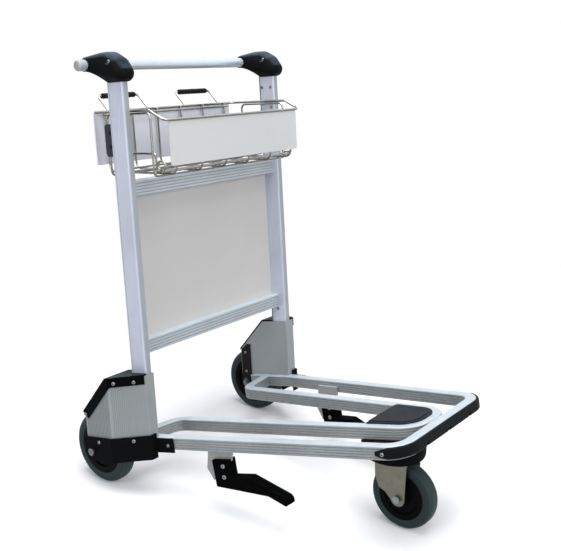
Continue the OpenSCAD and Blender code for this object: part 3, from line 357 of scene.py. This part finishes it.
def tyre_rubber(name, dark, light, tread, centre, outer):
    """Solid rubber tyre: mould rings on the wall, a painted highlight ring at each shoulder, a scuffed and dusty
    tread.
    """
    m, t, s = blank(name, 0.0, 0.18)
    at = place(t)
    radius, away, flat = turned(t, at, centre)
    band = vector_node(t, "MULTIPLY_ADD", away, (0.0, 420.0, 0.0), vector_node(t, "NORMALIZE", flat))
    round_marks = noise(t, band, 2.3, 4.0, 0.65)
    cloud = noise(t, at, 30.0, 4.0, 0.6)
    fine = noise(t, at, 1700.0, 2.0, 0.6)
    rings = ring_lines(t, radius, 0.0024)
    on_tread = span(t, radius, outer - 0.006, outer - 0.001)
    normal, _ = soft_edges(t, 0.0012)
    col = mix(t, spread(t, cloud), dark, light)
    dirty = times(t, on_tread, span(t, round_marks, 0.35, 0.65, 0.25, 0.95))
    col = mix(t, dirty, col, tread)
    col = mix(t, times(t, span(t, cloud, 0.6, 0.72), 0.35), col, scaled(light, 1.35))
    # Painted highlight: a thin pale ring along each shoulder.
    from_highlight_ring = math_node(t, "ABSOLUTE", math_node(t, "SUBTRACT", radius, outer - HIGHLIGHT_RING_IN))
    shoulder_highlight = span(t, from_highlight_ring, 0.0010, 0.0003, 0.0, 0.35)
    col = mix(t, shoulder_highlight, col, scaled(tread, 1.9))
    wall = times(t, rings, span(t, on_tread, 0.0, 1.0, 0.55, 0.0))
    height = plus(t, wall, plus(t, times(t, fine, 0.35), times(t, round_marks, 0.5)))
    dress(t, s, col, spread(t, cloud, 0.48, 0.66), bump(t, height, 0.0003, 0.4, normal))
    return m


def hub_plastic(name, dark, light, worn, centre):
    """Wheel hub: moulded nylon with faint turned rings, dusty patches and worn edges."""
    m, t, s = blank(name, 0.0, 0.03)
    at = place(t)
    radius, _, _ = turned(t, at, centre)
    cloud = noise(t, at, 26.0, 4.0, 0.6)
    fine = noise(t, at, 1400.0, 2.0, 0.6)
    rings = ring_lines(t, radius, 0.0016)
    normal, edges = soft_edges(t, 0.001)
    col = mix(t, spread(t, cloud), dark, light)
    col = mix(t, span(t, noise(t, at, 75.0, 5.0, 0.7), 0.55, 0.8, 0.0, 0.28), col, worn)
    col = mix(t, times(t, wear_mask(t, at, edges, 70.0, 0.5), 0.5), col, worn)
    height = plus(t, times(t, rings, 0.5), fine)
    dress(t, s, col, spread(t, cloud, 0.38, 0.52), bump(t, height, 0.0002, 0.3, normal))
    return m


# Bare metal on worn edges, and the axis that a profile's die lines run along.
BRIGHT = (0.80, 0.82, 0.85)
ALONG_X, ALONG_Y, ALONG_Z = range(3)
# The posts carry painted shade on their front faces.
alu_z = drawn_metal("aluminium_post", (0.46, 0.49, 0.57), (0.54, 0.57, 0.66), 0.25, (0.34, 0.46), ALONG_Z,
                    BRIGHT, painted_front_shade=(0.33, 0.36, 0.39))
alu_y = drawn_metal("aluminium_cross", (0.39, 0.435, 0.465), (0.47, 0.515, 0.545), 0.25, (0.34, 0.46), ALONG_Y,
                    BRIGHT, painted_top_highlight=(0.62, 0.69, 0.73), recess_shade=0.95)
alu_x = drawn_metal("aluminium_deck", (0.245, 0.265, 0.27), (0.318, 0.34, 0.342), 0.25, (0.36, 0.48), ALONG_X,
                    BRIGHT, painted_top_highlight=(0.55, 0.62, 0.67), specular=0.35, groove=0.08, drawn=0.10)
# The bar carries painted shade on its underside.
alu_bar = drawn_metal("aluminium_bar", (0.56, 0.64, 0.70), (0.61, 0.69, 0.75), 0.4, (0.24, 0.34), ALONG_Y,
                      BRIGHT, blotch=0.06, painted_underside_shade=(0.22, 0.20, 0.18))
alu_plate = drawn_metal("aluminium_plate", (0.25, 0.26, 0.24), (0.31, 0.32, 0.30), 0.3, (0.36, 0.48), ALONG_X,
                        BRIGHT, painted_top_highlight=(0.60, 0.66, 0.70))
shell = drawn_metal("housing_shell", (0.262, 0.280, 0.285), (0.294, 0.315, 0.319), 0.3, (0.38, 0.50), ALONG_Z,
                    BRIGHT, streak=500.0, recess_shade=0.3, specular=0.4, blotch=0.06, drawn=0.15, wear=0.0)
black = moulded("black_mould", (0.0026, 0.0029, 0.0031), (0.0044, 0.0048, 0.0051), (0.56, 0.68),
                (0.012, 0.013, 0.0145), dust_and_sheen=0.01, specular=0.02)
black_skid = moulded("black_mould_skid", (0.0014, 0.0015, 0.0016), (0.0026, 0.0027, 0.0029), (0.62, 0.74),
                     (0.035, 0.036, 0.038), dust_and_sheen=0.0, specular=0.01)
black_hood = moulded("black_mould_hood", (0.0010, 0.0012, 0.0015), (0.0022, 0.0025, 0.0030), (0.42, 0.54),
                     (0.010, 0.011, 0.013), dust_and_sheen=0.20, specular=0.02)
# The knuckles carry the strongest painted sky sheen on their dusty tops.
black_top = moulded("black_mould_dusty_sheen", (0.0016, 0.0018, 0.0022), (0.0032, 0.0037, 0.0045), (0.42, 0.54),
                    (0.014, 0.016, 0.020), dust_and_sheen=0.42, specular=0.05)
slate = moulded("slate_mould", (0.0048, 0.0066, 0.0092), (0.0082, 0.0110, 0.0145), (0.48, 0.60),
                (0.042, 0.048, 0.055), grain=1100.0, depth=0.0003, dust_and_sheen=0.045, specular=0.07)
bumper = moulded("bumper_rubber", (0.0026, 0.0034, 0.0044), (0.0052, 0.0064, 0.0080), (0.48, 0.60),
                 (0.035, 0.039, 0.044), grain=1300.0, depth=0.0003, dust_and_sheen=0.04, specular=0.06)
grip = moulded("grip_rubber", (0.005, 0.005, 0.0055), (0.009, 0.009, 0.0095), (0.54, 0.66), (0.04, 0.04, 0.04),
               grain=2200.0, depth=0.0003, dust_and_sheen=0.04, edge=0.0005, specular=0.10)
# The caps carry painted shade on their end faces.
cap_grey = moulded("cap_plastic", (0.35, 0.375, 0.39), (0.40, 0.425, 0.445), (0.38, 0.48), (0.54, 0.56, 0.58),
                   grain=1600.0, depth=0.0001, dust_and_sheen=0.04, painted_end_shade=(0.33, 0.30, 0.28))
sign = coated("sign_board", (0.545, 0.530, 0.512), (0.575, 0.560, 0.542), (0.42, 0.52), (0.65, 0.64, 0.62),
              scratch=0.12, specular=0.35)
board_front = coated("basket_front_board", (0.575, 0.58, 0.57), (0.61, 0.615, 0.605), (0.34, 0.44),
                     (0.52, 0.52, 0.53), scratch=0.12, specular=0.4)
board_back = coated("basket_back_board", (0.72, 0.73, 0.79), (0.78, 0.79, 0.85), (0.34, 0.44),
                    (0.58, 0.59, 0.62), scratch=0.12, specular=0.4)
painted = coated("black_painted_steel", (0.0030, 0.0030, 0.0036), (0.0058, 0.0058, 0.0066), (0.42, 0.52),
                 (0.10, 0.10, 0.10), scratch=0.22, specular=0.10)
painted_blue = coated("slate_painted_steel", (0.020, 0.024, 0.034), (0.032, 0.037, 0.050), (0.42, 0.52),
                      (0.14, 0.14, 0.15), scratch=0.22, specular=0.15)
# The wire carries a painted reflection on its tops and painted shade on its undersides.
wire = plated("bright_wire", (0.25, 0.24, 0.22), (0.40, 0.38, 0.355), (0.12, 0.22), (0.12, 0.10, 0.075), 70.0,
              amount=0.35, painted_top_reflection=(0.66, 0.68, 0.69), painted_light_film=(0.060, 0.050, 0.040))
zinc = plated("zinc_steel", (0.120, 0.120, 0.093), (0.178, 0.175, 0.142), (0.34, 0.48), (0.11, 0.10, 0.07), 42.0)
# Screws and bolts carry painted shade in their recesses.
screw = plated("screw_steel", (0.17, 0.18, 0.195), (0.27, 0.28, 0.30), (0.26, 0.38), (0.10, 0.095, 0.08), 120.0,
               recess_shade=0.95)
bolt = plated("bolt_steel", (0.10, 0.105, 0.115), (0.17, 0.175, 0.19), (0.26, 0.38), (0.07, 0.065, 0.055), 120.0,
              recess_shade=0.95)

finish = {}
for material, names in (
        (alu_z, ("left_post", "right_post")),
        (alu_y, ("top_rail", "bottom_rail")),
        (alu_x, ("outer_rail", "inner_rail")),
        (alu_bar, ("handle_bar",)),
        (alu_plate, ("guide_plates",)),
        (shell, ("left_housing", "right_housing")),
        (black, ("left_axle_bracket", "right_axle_bracket", "caster_cup")),
        (black_skid, ("guide_skids",)),
        (black_hood, ("left_hood", "right_hood")),
        (black_top, ("left_knuckle", "right_knuckle")),
        (slate, ("nose_plate",)),
        (bumper, ("front_bumper",)),
        (grip, ("hand_grips",)),
        (cap_grey, ("handle_end_caps",)),
        (sign, ("sign_panel",)),
        (board_front, ("basket_front_panel",)),
        (board_back, ("basket_back_panel",)),
        (painted, ("left_strap", "right_strap")),
        (painted_blue, ("basket_brackets",)),
        (wire, ("basket_rim", "basket_cradle", "basket_ribs", "basket_cross_wires", "basket_fences", "hand_loops")),
        (zinc, ("axle_spacers", "kingpin", "thrust_ring", "caster_fork", "caster_spacers", "left_bearings",
                "right_bearings", "caster_bearings")),
        (screw, ("caster_axle", "caster_nut", "knuckle_screws", "post_screws", "bracket_screws", "housing_screws",
                 "bumper_screws", "guide_screws")),
        (bolt, ("left_axle", "right_axle", "axle_nuts"))):
    finish.update(dict.fromkeys(names, material))
for side, centre, outer in (("left", (-MID, REAR_Y, REAR_R), REAR_R), ("right", (-MID, -REAR_Y, REAR_R), REAR_R),
                            ("caster", (CASTER_X - MID, 0.0, CASTER_R), CASTER_R)):
    finish[side + "_tyre"] = tyre_rubber(
        side + "_tyre_rubber", dark=(0.0125, 0.0230, 0.0235), light=(0.0195, 0.0330, 0.0335),
        tread=(0.031, 0.0475, 0.0475), centre=centre, outer=outer)
    finish[side + "_hub"] = hub_plastic(
        side + "_hub_nylon", dark=(0.0012, 0.0012, 0.0013), light=(0.0022, 0.0022, 0.0023),
        worn=(0.012, 0.012, 0.011), centre=centre)

for name, obj in nodes.items():
    obj.data.materials.clear()
    obj.data.materials.append(finish[name])
    for face in obj.data.polygons:
        face.material_index = 0


# Pieces


def smooth_copy(name, node, body, voxel, passes):
    """A moulded form with flowing surfaces in place of its faceted solid."""
    obj = bpy.data.objects.new(name, nodes[node].data.copy())
    scene.collection.objects.link(obj)
    mod = obj.modifiers.new("skin", "REMESH")
    mod.mode = "VOXEL"
    mod.voxel_size = voxel
    mod.use_smooth_shade = True
    flow = obj.modifiers.new("flow", "SMOOTH")
    flow.factor = 0.5
    flow.iterations = passes
    made = bpy.data.meshes.new_from_object(obj.evaluated_get(bpy.context.evaluated_depsgraph_get()))
    obj.modifiers.clear()
    obj.data = made
    made.materials.clear()
    made.materials.append(finish[node])
    for face in made.polygons:
        face.use_smooth = True
        face.material_index = 0
    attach(obj, body)
    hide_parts(node)


for side in ("left", "right"):
    smooth_copy(side + "_knuckle_form", side + "_knuckle", "frame", voxel=0.0012, passes=10)
smooth_copy("front_bumper_form", "front_bumper", "frame", voxel=0.0011, passes=8)


def touches(a, b):
    """Places where the wires of one node lie against those of another, with the direction across."""
    verts = [v.co for v in b.data.vertices]
    tree = BVHTree.FromPolygons(verts, [tuple(p.vertices) for p in b.data.polygons])
    groups = []
    for edge in a.data.edges:
        p, q = (a.data.vertices[i].co for i in edge.vertices)
        count = max(1, int((q - p).length / PROBE_STEP))
        for k in range(count + 1):
            at = p.lerp(q, k / count)
            hit, across, _, _ = tree.find_nearest(at, TOUCH)
            if hit is None:
                continue
            middle = (at + hit) / 2
            for g in groups:
                if (g[0] / g[2] - middle).length < ONE_BEAD:
                    g[0] += middle
                    g[1] += across
                    g[2] += 1
                    break
            else:
                groups.append([middle.copy(), across.copy(), 1])
    return [(g[0] / g[2], g[1].normalized()) for g in groups]


def weld_beads(name, pairs, body, material):
    """Small uneven squeezed-out beads where wires are spot-welded to each other."""
    mesh = bpy.data.meshes.new(name)
    form = bmesh.new()
    for a, b in pairs:
        for at, across in touches(nodes[a], nodes[b]):
            turn = across.to_track_quat("Z", "Y").to_matrix().to_4x4()
            made = bmesh.ops.create_icosphere(form, subdivisions=2, radius=1.0)["verts"]
            for v in made:
                swell = 1.0 + BEAD_UNEVEN * rough_noise.noise(v.co * BEAD_LUMPS + at * BEAD_SEED)
                local = Vector((v.co.x * BEAD[0], v.co.y * BEAD[1], v.co.z * BEAD[2])) * swell
                v.co = at + turn @ local
    form.to_mesh(mesh)
    form.free()
    for face in mesh.polygons:
        face.use_smooth = True
    mesh.materials.append(material)
    obj = bpy.data.objects.new(name, mesh)
    scene.collection.objects.link(obj)
    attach(obj, body)


weld_beads("basket_welds", (("basket_ribs", "basket_rim"), ("basket_cradle", "basket_rim"),
                            ("basket_cross_wires", "basket_ribs"), ("basket_cross_wires", "basket_cradle"),
                            ("basket_fences", "basket_cradle"), ("basket_fences", "basket_ribs"),
                            ("basket_fences", "basket_cross_wires"), ("hand_loops", "basket_rim"),
                            ("basket_cradle", "basket_ribs")),
           "frame", wire)


# Stage, light and camera


def seen_rays(tree):
    """1 for rays that show a surface to the camera, straight or by way of gloss or glass."""
    path = tree.nodes.new("ShaderNodeLightPath")
    return math_node(tree, "MAXIMUM", path.outputs["Is Camera Ray"],
                     math_node(tree, "MAXIMUM", path.outputs["Is Glossy Ray"], path.outputs["Is Transmission Ray"]))


bpy.ops.mesh.primitive_plane_add(size=FLOOR_SIZE, location=(0.0, 0.0, FLOOR_DROP))
floor = bpy.context.object
floor.name = "floor"
fm, ft, fs = blank("floor_paint", 0.0, 0.0)
seen = seen_rays(ft)
ft.links.new(mix(ft, seen, FLOOR_BOUNCE, FLOOR_SEEN), fs.inputs["Base Color"])
fs.inputs["Roughness"].default_value = 0.9
open_floor = times(ft, seen, span(ft, vector_node(ft, "LENGTH", place(ft)), FADE_FROM, FADE_TO))
glow = ft.nodes.new("ShaderNodeEmission")
both = ft.nodes.new("ShaderNodeMixShader")
ft.links.new(open_floor, both.inputs[0])
ft.links.new(fs.outputs[0], both.inputs[1])
ft.links.new(glow.outputs[0], both.inputs[2])
ft.links.new(both.outputs[0], ft.nodes["Material Output"].inputs["Surface"])
floor.data.materials.append(fm)

world = bpy.data.worlds.new("studio")
scene.world = world
world.use_nodes = True
wt = world.node_tree
back = wt.nodes["Background"]
wt.links.new(mix(wt, seen_rays(wt), WORLD_LIGHT, WHITE), back.inputs["Color"])
back.inputs["Strength"].default_value = 1.0


def lamp(name, at, target, size, power, color):
    data = bpy.data.lights.new(name, "AREA")
    data.shape = "DISK"
    data.size = size
    data.energy = power
    data.color = color
    obj = bpy.data.objects.new(name, data)
    obj.location = at
    obj.rotation_euler = (Vector(target) - Vector(at)).to_track_quat("-Z", "Y").to_euler()
    scene.collection.objects.link(obj)


lamp("top_light", at=(0.2, -0.4, 4.2), target=(0.0, 0.0, 0.4), size=3.4, power=150.0, color=WHITE)
lamp("side_light", at=(0.3, -4.2, 2.4), target=(0.0, 0.0, 0.5), size=2.6, power=78.0, color=(0.96, 0.97, 1.0))
lamp("front_light", at=(4.2, -0.6, 2.2), target=(0.0, 0.0, 0.5), size=2.6, power=82.0, color=WHITE)

yaw, pitch, roll = (math.radians(a) for a in (CAMERA_YAW, CAMERA_PITCH, CAMERA_ROLL))
ahead = Vector((math.cos(yaw) * math.cos(pitch), math.sin(yaw) * math.cos(pitch), math.sin(pitch)))
level = Vector((math.sin(yaw), -math.cos(yaw), 0.0))
above = level.cross(ahead)
right = level * math.cos(roll) + above * math.sin(roll)
up = above * math.cos(roll) - level * math.sin(roll)
cam_data = bpy.data.cameras.new("camera")
cam_data.sensor_fit = "HORIZONTAL"
cam_data.sensor_width = SENSOR_W
cam_data.lens = FOCAL / IMAGE_W * SENSOR_W
cam_data.shift_x = (IMAGE_W / 2 - CENTRE_U) / IMAGE_W
cam_data.shift_y = (CENTRE_V - IMAGE_H / 2) / IMAGE_W
cam_data.dof.use_dof = False
cam_data.clip_end = 200.0
cam = bpy.data.objects.new("camera", cam_data)
scene.collection.objects.link(cam)
turn = Matrix((right, up, -ahead)).transposed().to_4x4()
cam.matrix_world = Matrix.Translation(CAMERA_AT) @ turn
scene.camera = cam

scene.view_settings.view_transform = "Standard"
